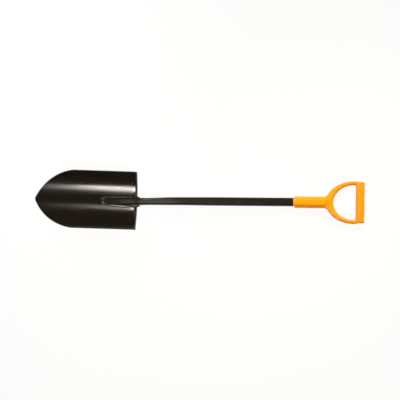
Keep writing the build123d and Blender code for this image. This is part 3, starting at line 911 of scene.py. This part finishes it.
seatLevel = handle["sleeveDepth"] / 2 - handle["rivetRecess"]
rimLevel = seatLevel + rivet["rimShare"] * rivet["headHeight"]
bulbLevel = tube["depth"] / 2 - rivet["wall"]
bulbEnd = bulbLevel - rivet["bulbLength"]
dome = np.linspace(0, np.pi / 2, rivet["domeSteps"])[1:]
domeRadius = rivet["pinRadius"] + (rivet["headRadius"] - rivet["pinRadius"]) * np.cos(dome)
domeLevel = rimLevel + (1 - rivet["rimShare"]) * rivet["headHeight"] * np.sin(dome)
handleRivet = turned("rivetBody", "handle_rivet", [
    (rivet["pinRadius"], bulbEnd),
    (rivet["bulbRadius"] - rivet["bulbEdge"][0], bulbEnd),
    (rivet["bulbRadius"], bulbEnd + rivet["bulbEdge"][1]),
    (rivet["bulbRadius"], bulbLevel),
    (rivet["shankRadius"], bulbLevel),
    (rivet["shankRadius"], seatLevel),
    (rivet["headRadius"], seatLevel),
    (rivet["headRadius"], rimLevel),
    *zip(domeRadius, domeLevel),
    (rivet["pinRadius"], bulbEnd),
])
pinTop = seatLevel + rivet["headHeight"] / 2
pinEnd = bulbEnd - rivet["pinHeadLength"]
rivetMandrel = turned("rivetPin", "rivet_mandrel", [
    (0, pinEnd),
    (rivet["pinHeadFlat"] * rivet["pinHeadRadius"], pinEnd),
    (rivet["pinHeadRadius"], bulbEnd - rivet["pinHeadEdge"]),
    (rivet["pinRadius"], bulbEnd),
    (rivet["breakShares"][0] * rivet["pinRadius"], pinTop - rivet["breakLength"]),
    (rivet["breakShares"][1] * rivet["pinRadius"], pinTop),
    (0, pinTop - rivet["breakHollow"]),
])


# Finishes: node groups shared by several materials, then one material for each finish

def addNode(tree, kind, inputs=None, **settings):
    # a node with its settings, and each input set to a value or linked to a socket
    node = tree.nodes.new(kind)
    for key, value in settings.items():
        setattr(node, key, value)
    for socket, value in (inputs or {}).items():
        if isinstance(value, bpy.types.NodeSocket):
            tree.links.new(value, node.inputs[socket])
        else:
            node.inputs[socket].default_value = value
    return node


def startGroup(name, values, results):
    # a shader node group with float inputs after its Vector, and float outputs
    group = bpy.data.node_groups.new(name, "ShaderNodeTree")
    group.interface.new_socket("Vector", in_out="INPUT", socket_type="NodeSocketVector")
    for socket, value in values.items():
        entry = group.interface.new_socket(socket, in_out="INPUT", socket_type="NodeSocketFloat")
        entry.default_value = value
    for socket in results:
        group.interface.new_socket(socket, in_out="OUTPUT", socket_type="NodeSocketFloat")
    return group, group.nodes.new("NodeGroupInput"), group.nodes.new("NodeGroupOutput")


def noiseOf(tree, vector, scale, detail=2.0):
    # the value of a noise texture
    sockets = {"Vector": vector, "Scale": scale, "Detail": detail}
    return addNode(tree, "ShaderNodeTexNoise", sockets).outputs["Fac"]


def mathOf(tree, operation, first, second, clamp=False):
    # one operation on two values or sockets
    node = addNode(tree, "ShaderNodeMath", {0: first, 1: second}, operation=operation, use_clamp=clamp)
    return node.outputs["Value"]


def scaledSum(tree, value, gain, base):
    # base plus so much of a value
    node = addNode(tree, "ShaderNodeMath", {0: value, 1: gain, 2: base}, operation="MULTIPLY_ADD")
    return node.outputs["Value"]


def rangeOf(tree, value, low, high):
    # eased step from 0 at low to 1 at high
    sockets = {"Value": value, "From Min": low, "From Max": high}
    return addNode(tree, "ShaderNodeMapRange", sockets, interpolation_type="SMOOTHSTEP").outputs["Result"]


def stretched(tree, vector, scale):
    # a vector times a scale for each axis
    node = addNode(tree, "ShaderNodeVectorMath", {0: vector, 1: scale}, operation="MULTIPLY")
    return node.outputs["Vector"]


paint = dict(
    finePeel=2.7,  # scale and share of the finer peel, against the coarser
    fineShare=0.35,
    patchSize=14.0,
    patches=(0.42, 0.68),  # where the noise begins to show as marks, and where it fully does
    specks=(0.60, 0.74),
    rubs=(0.66, 0.76),
    chips=(0.44, 0.66),
)


def makePaintFilm():
    # sprayed paint: orange peel, dust in patches, fine rub marks along the tool
    values = {"Peel Size": 420.0, "Dust Size": 260.0, "Rub Length": 9.0, "Rub Width": 900.0}
    group, given, result = startGroup("paintFilm", values, ["Peel", "Dust", "Rub"])
    vector = given.outputs["Vector"]
    fineSize = mathOf(group, "MULTIPLY", given.outputs["Peel Size"], paint["finePeel"])
    fine = noiseOf(group, vector, fineSize)
    coarse = noiseOf(group, vector, given.outputs["Peel Size"])
    peel = scaledSum(group, fine, paint["fineShare"], coarse)
    specks = noiseOf(group, vector, given.outputs["Dust Size"], detail=5.0)
    specks = rangeOf(group, specks, *paint["specks"])
    patches = noiseOf(group, vector, paint["patchSize"], detail=3.0)
    patches = rangeOf(group, patches, *paint["patches"])
    dust = mathOf(group, "MULTIPLY", specks, patches)
    axes = addNode(group, "ShaderNodeCombineXYZ", {
        "X": given.outputs["Rub Length"], "Y": given.outputs["Rub Width"], "Z": given.outputs["Rub Width"],
    })
    rubs = noiseOf(group, stretched(group, vector, axes.outputs["Vector"]), 1.0, detail=1.0)
    rub = mathOf(group, "MULTIPLY", rangeOf(group, rubs, *paint["rubs"]), patches)
    for socket, value in (("Peel", peel), ("Dust", dust), ("Rub", rub)):
        group.links.new(value, result.inputs[socket])
    return group


plastic = dict(
    coarseGrain=0.4,  # scale and share of the coarser grain, against the finer
    coarseShare=0.6,
    flow=(0.3, 0.7),  # where the noise begins to show, and where it fully does
    scuffs=(0.60, 0.72),
)


def makeMouldGrain():
    # moulded plastic: fine spark-eroded grain, slow flow shading, small handling scuffs
    values = {"Grain Size": 1500.0, "Flow Size": 16.0, "Scuff Size": 130.0}
    group, given, result = startGroup("mouldGrain", values, ["Grain", "Flow", "Scuff"])
    vector = given.outputs["Vector"]
    coarseSize = mathOf(group, "MULTIPLY", given.outputs["Grain Size"], plastic["coarseGrain"])
    fine = noiseOf(group, vector, given.outputs["Grain Size"], detail=3.0)
    coarse = noiseOf(group, vector, coarseSize, detail=3.0)
    grain = scaledSum(group, coarse, plastic["coarseShare"], fine)
    flow = rangeOf(group, noiseOf(group, vector, given.outputs["Flow Size"]), *plastic["flow"])
    scuff = noiseOf(group, vector, given.outputs["Scuff Size"], detail=6.0)
    scuff = rangeOf(group, scuff, *plastic["scuffs"])
    for socket, value in (("Grain", grain), ("Flow", flow), ("Scuff", scuff)):
        group.links.new(value, result.inputs[socket])
    return group


paintFilm = makePaintFilm()
mouldGrain = makeMouldGrain()


def startMaterial(name, group, values):
    # a new material with the group on Object coordinates beside its Principled shader
    material = bpy.data.materials.new(name)
    material.use_nodes = True
    tree = material.node_tree
    place = addNode(tree, "ShaderNodeTexCoord").outputs["Object"]
    effect = addNode(tree, "ShaderNodeGroup", node_tree=group)
    tree.links.new(place, effect.inputs["Vector"])
    for socket, value in values.items():
        effect.inputs[socket].default_value = value
    return material, tree, tree.nodes["Principled BSDF"], effect.outputs, place


def tintOf(tree, share, first, second):
    # a colour between two others, each a socket or a plain colour
    node = addNode(tree, "ShaderNodeMix", {"Factor": share}, data_type="RGBA")
    colours = [socket for socket in node.inputs if socket.type == "RGBA"]
    for socket, value in zip(colours, (first, second)):
        if isinstance(value, bpy.types.NodeSocket):
            tree.links.new(value, socket)
        else:
            socket.default_value = (*value, 1)
    return [socket for socket in node.outputs if socket.type == "RGBA"][0]


def finishSurface(tree, shader, colour, rough, height, depth):
    # the three things that change over every surface here
    bump = addNode(tree, "ShaderNodeBump", {"Height": height, "Distance": depth})
    for value, socket in ((colour, "Base Color"), (rough, "Roughness"), (bump.outputs["Normal"], "Normal")):
        tree.links.new(value, shader.inputs[socket])


def paintMaterial(look):
    # glossy warm black paint, paler and duller under dust and rubs, bare steel where the paint is off; on
    # the nose bead's crests that bare steel is also a painted highlight
    material, tree, shader, film, place = startMaterial(look["name"], paintFilm, look["film"])
    marks = mathOf(tree, "MULTIPLY", film["Dust"], look["dust"])
    marks = mathOf(tree, "ADD", marks, mathOf(tree, "MULTIPLY", film["Rub"], look["rub"]), clamp=True)
    colour = tintOf(tree, marks, look["colour"], look["dustColour"])
    if look["wearGlint"]:
        wornGlint = addNode(tree, "ShaderNodeAttribute", attribute_name="wearGlint").outputs["Fac"]
        chips = rangeOf(tree, noiseOf(tree, place, look["chipSize"], detail=5.0), *paint["chips"])
        wornGlint = mathOf(tree, "MULTIPLY", mathOf(tree, "MULTIPLY", wornGlint, chips), look["wearGlint"], clamp=True)
        colour = tintOf(tree, wornGlint, colour, look["bareColour"])
        marks = mathOf(tree, "ADD", marks, wornGlint, clamp=True)
    shader.inputs["Specular IOR Level"].default_value = look["specular"]
    rough = scaledSum(tree, marks, look["markRough"], look["roughness"])
    finishSurface(tree, shader, colour, rough, film["Peel"], look["peelDepth"])
    return material


def plasticMaterial(look):
    # satin orange plastic: grain in the surface, slow colour flow, faint scuffs
    material, tree, shader, grain, _ = startMaterial(look["name"], mouldGrain, look["grain"])
    scuffs = mathOf(tree, "MULTIPLY", grain["Scuff"], look["scuff"])
    colour = tintOf(tree, grain["Flow"], look["colour"], look["flowColour"])
    colour = tintOf(tree, scuffs, colour, look["scuffColour"])
    shader.inputs["Specular IOR Level"].default_value = look["specular"]
    rough = scaledSum(tree, grain["Flow"], look["flowRough"], look["roughness"])
    finishSurface(tree, shader, colour, rough, grain["Grain"], look["grainDepth"])
    return material


def metalMaterial(look):
    # bare metal turned about the rivet's axis: fine rings, dull patches
    material, tree, shader, film, place = startMaterial(look["name"], paintFilm, look["film"])
    axis = gripAxis - toGrip * (mouth - handle["rivetBack"])
    centred = addNode(tree, "ShaderNodeMapping", {"Vector": place, "Location": tuple(-axis)})
    rings = addNode(tree, "ShaderNodeTexWave", {
        "Vector": centred.outputs["Vector"], "Scale": look["ringScale"], "Distortion": look["ringWaver"],
    }, wave_type="RINGS", rings_direction="Z")
    colour = tintOf(tree, film["Dust"], look["colour"], look["dustColour"])
    shader.inputs["Metallic"].default_value = 1.0
    rough = scaledSum(tree, rings.outputs["Fac"], look["ringRough"], look["roughness"])
    finishSurface(tree, shader, colour, rough, rings.outputs["Fac"], look["ringDepth"])
    return material


paintBase = dict(dustColour=(0.05, 0.045, 0.036), specular=0.5, markRough=0.3)
bladePaint = paintMaterial(dict(
    paintBase,
    name="bladePaint",
    colour=(0.0080, 0.0060, 0.0034),
    roughness=0.15,
    dust=0.22,
    rub=0.25,
    wearGlint=0.3,
    chipSize=300.0,
    bareColour=(0.16, 0.15, 0.14),
    peelDepth=0.000008,
    film={"Peel Size": 420.0},
))
shaftPaint = paintMaterial(dict(
    paintBase,
    name="shaftPaint",
    colour=(0.0085, 0.0065, 0.004),
    roughness=0.22,
    dust=0.2,
    rub=0.2,
    wearGlint=0.0,
    peelDepth=0.000015,
    film={"Peel Size": 600.0},
))
weldPaint = paintMaterial(dict(
    paintBase,
    name="weldPaint",
    colour=(0.0080, 0.0060, 0.0034),
    roughness=0.17,
    dust=0.2,
    rub=0.0,
    # strong bare steel on the nose bead's crests: paint come off and painted highlight both
    wearGlint=1.0,
    chipSize=260.0,
    bareColour=(0.28, 0.27, 0.25),
    peelDepth=0.00001,
    film={"Peel Size": 700.0},
))
handlePlastic = plasticMaterial(dict(
    name="handlePlastic",
    colour=(0.90, 0.302, 0.002),
    flowColour=(0.89, 0.288, 0.002),
    scuffColour=(0.94, 0.39, 0.012),
    scuff=0.25,
    roughness=0.3,
    flowRough=0.06,
    specular=0.24,
    grainDepth=0.00003,
    grain={"Grain Size": 1500.0},
))
gripPlastic = plasticMaterial(dict(
    name="gripPlastic",
    # a touch yellower than the frame's orange: painted light, standing in for the stronger light on the
    # grip
    colour=(0.90, 0.307, 0.001),
    flowColour=(0.89, 0.293, 0.001),
    scuffColour=(0.94, 0.385, 0.010),
    scuff=0.3,
    roughness=0.42,
    flowRough=0.06,
    specular=0.2,
    grainDepth=0.00004,
    grain={"Grain Size": 1300.0},
))
rivetMetal = metalMaterial(dict(
    name="rivetMetal",
    colour=(0.72, 0.72, 0.73),
    dustColour=(0.5, 0.5, 0.5),
    roughness=0.3,
    ringRough=0.15,
    ringScale=900.0,
    ringWaver=1.5,
    ringDepth=0.00001,
    film={"Dust Size": 900.0},
))
mandrelSteel = metalMaterial(dict(
    name="mandrelSteel",
    colour=(0.45, 0.44, 0.43),
    dustColour=(0.22, 0.2, 0.18),
    roughness=0.42,
    ringRough=0.15,
    ringScale=1500.0,
    ringWaver=1.5,
    ringDepth=0.00002,
    film={"Dust Size": 1200.0},
))
finishes = {
    bladePaint: [bladeSheet],
    shaftPaint: [shaftTube],
    weldPaint: welds,
    handlePlastic: [handleMoulding],
    gripPlastic: [gripShell],
    rivetMetal: [handleRivet],
    mandrelSteel: [rivetMandrel],
}
for material, dressed in finishes.items():
    for piece in dressed:
        piece.data.materials.append(material)
print("finishes:", ", ".join(material.name for material in finishes))


# Studio: white floor with low walls, grey room, soft boxes

studio = dict(
    floorHalf=14.0,
    floorGap=0.0005,  # how far the floor lies below the spade
    wallHeight=3.2,
    floorColour=(0.9, 0.9, 0.9),
    floorWhite=0.93,  # share of plain white that the eye sees; the rest takes the shadow
    room=(0.05, 0.047, 0.043),
)
lampColour = (1.0, 0.93, 0.85)
keyColour = (0.94, 1.0, 0.6)
fillColour = (1.0, 0.8, 0.4)
panelColour = (1.0, 0.86, 0.6)
bladeLamp = dict(aim=(-0.40, 0.0, 0.06), spread=18.0, colour=lampColour)
handleLamp = dict(aim=(0.45, 0.0, 0.02), spread=180.0, colour=lampColour)
shaftLamp = dict(aim=(0.0, 0.0, 0.0), spread=180.0, colour=panelColour)
lamps = dict(
    stripTip=dict(bladeLamp, place=(0.64, -2.56, 5.0), size=(0.28, 0.32), radiance=58.0),
    stripSoft=dict(bladeLamp, place=(0.64, -2.10, 5.0), size=(0.28, 0.60), radiance=27.0),
    stripMiddle=dict(bladeLamp, place=(0.92, -2.22, 5.0), size=(0.28, 1.45), radiance=34.0),
    stripHeel=dict(bladeLamp, place=(1.28, -2.15, 5.0), size=(0.44, 1.20), radiance=32.0),
    stripBar=dict(bladeLamp, place=(1.75, -2.25, 5.0), size=(0.50, 1.00), radiance=80.0),
    stripGlow=dict(bladeLamp, place=(0.92, -1.20, 5.0), size=(0.28, 0.60), radiance=3.3),
    counterTip=dict(bladeLamp, place=(0.64, 1.78, 5.0), size=(0.28, 0.65), radiance=5.5),
    counterMiddle=dict(bladeLamp, place=(0.92, 2.25, 5.0), size=(0.28, 0.34), radiance=22.0),
    counterHeel=dict(bladeLamp, place=(1.26, 2.22, 5.0), size=(0.40, 0.30), radiance=95.0),
    handleKey=dict(
        handleLamp, place=(1.07, 1.27, 1.43), size=(0.5, 0.5), radiance=86.0, spread=32.0, colour=keyColour,
    ),
    handleSide=dict(handleLamp, place=(-1.18, 0.94, 0.70), size=(0.8, 0.8), radiance=11.0),
    handleFill=dict(
        handleLamp, place=(1.30, -0.45, 1.50), size=(0.8, 0.8), radiance=4.5, colour=fillColour,
    ),
    handleRim=dict(handleLamp, place=(-0.84, -0.36, 1.74), size=(1.1, 1.1), radiance=2.5, spread=60.0),
    shaftLow=dict(shaftLamp, place=(-2.9, -0.5, 8.0), size=(4.0, 1.2), radiance=4.0),
    shaftHigh=dict(shaftLamp, place=(-2.9, 1.9, 8.0), size=(4.0, 1.2), radiance=1.9),
)


def buildFloor():
    # a wide floor inside low walls: mostly plain white to the eye and in reflections, matt to the lamps,
    # so it keeps a faint shadow
    corners = studio["floorHalf"] * np.array([[-1, -1], [1, -1], [1, 1], [-1, 1]])
    levels = (-studio["floorGap"], studio["wallHeight"])
    points = np.concatenate([np.column_stack([corners, np.full(4, level)]) for level in levels])
    walls = [[k, k + 4, (k + 1) % 4 + 4, (k + 1) % 4] for k in range(4)]
    mesh = bpy.data.meshes.new("floor")
    mesh.from_pydata(points.tolist(), [], [[0, 1, 2, 3]] + walls)
    floor = bpy.data.objects.new("floor", mesh)
    bpy.context.scene.collection.objects.link(floor)
    material = bpy.data.materials.new("floorWhite")
    material.use_nodes = True
    tree = material.node_tree
    tree.nodes.clear()
    light = addNode(tree, "ShaderNodeLightPath").outputs
    seen = mathOf(tree, "ADD", light["Is Camera Ray"], light["Is Glossy Ray"])
    seen = mathOf(tree, "ADD", seen, light["Is Transmission Ray"], clamp=True)
    share = mathOf(tree, "MULTIPLY", seen, studio["floorWhite"])
    matt = addNode(tree, "ShaderNodeBsdfDiffuse", {"Color": (*studio["floorColour"], 1)})
    white = addNode(tree, "ShaderNodeEmission")
    mix = addNode(tree, "ShaderNodeMixShader", {
        0: share, 1: matt.outputs["BSDF"], 2: white.outputs["Emission"],
    })
    addNode(tree, "ShaderNodeOutputMaterial", {"Surface": mix.outputs["Shader"]})
    mesh.materials.append(material)


def aimed(place, aim, roll=0.0):
    # a frame at a place that looks at its aim, its first axis as near to X as it can be before the roll
    out = np.array(place) - np.array(aim)
    out = out / np.linalg.norm(out)
    right = np.array([1.0, 0, 0]) - out[0] * out
    right = right / np.linalg.norm(right)
    up = np.cross(out, right)
    right, up = np.cos(roll) * right + np.sin(roll) * up, np.cos(roll) * up - np.sin(roll) * right
    return Matrix([[right[k], up[k], out[k], place[k]] for k in range(3)] + [[0, 0, 0, 1]])


def softBox(name, place, aim, size, radiance, colour, spread):
    # a flat lamp that faces its aim; its energy is pi times area times radiance times the share that
    # the grid before it lets through
    lamp = bpy.data.lights.new(name, "AREA")
    lamp.shape = "RECTANGLE"
    lamp.size, lamp.size_y = size
    half = np.radians(spread / 2)
    lamp.spread = 2 * half
    lamp.energy = np.pi * size[0] * size[1] * radiance * (1 - half / np.tan(half))
    lamp.color = colour
    box = bpy.data.objects.new(name, lamp)
    bpy.context.scene.collection.objects.link(box)
    box.matrix_world = aimed(place, aim)


def buildStudio():
    # a dim room all round, the floor and the lamps
    world = bpy.data.worlds.new("studioRoom")
    bpy.context.scene.world = world
    world.use_nodes = True
    world.node_tree.nodes["Background"].inputs["Color"].default_value = (*studio["room"], 1)
    buildFloor()
    for name, settings in lamps.items():
        softBox(name, **settings)


buildStudio()


# Camera: almost straight above, from the handle's side

camera = dict(
    tiltAlong=12.0,  # degrees from upright, towards the handle
    tiltAcross=6.56,
    roll=0.21,
    target=(-0.0013, 0.0093, 0.0),
    distance=4.5,
    pixelsPerMetre=279.6,
    imagePixels=400,
    sensor=36.0,
    clipEnd=50.0,
)


def buildCamera():
    # a camera above its target, turned by two tilts and a roll; its lens gives the pixels per metre there
    along, across, roll = np.radians([camera["tiltAlong"], camera["tiltAcross"], camera["roll"]])
    back = np.array([np.sin(along) * np.cos(across), -np.sin(across), np.cos(along) * np.cos(across)])
    place = np.array(camera["target"]) + camera["distance"] * back
    lens = bpy.data.cameras.new("camera")
    lens.sensor_width = camera["sensor"]
    lens.lens = camera["sensor"] * camera["pixelsPerMetre"] * camera["distance"] / camera["imagePixels"]
    lens.clip_end = camera["clipEnd"]
    view = bpy.data.objects.new("camera", lens)
    view.matrix_world = aimed(place, camera["target"], roll)
    bpy.context.scene.collection.objects.link(view)
    bpy.context.scene.camera = view


buildCamera()
bpy.context.scene.view_settings.view_transform = "Standard"
print("studio and camera ready")
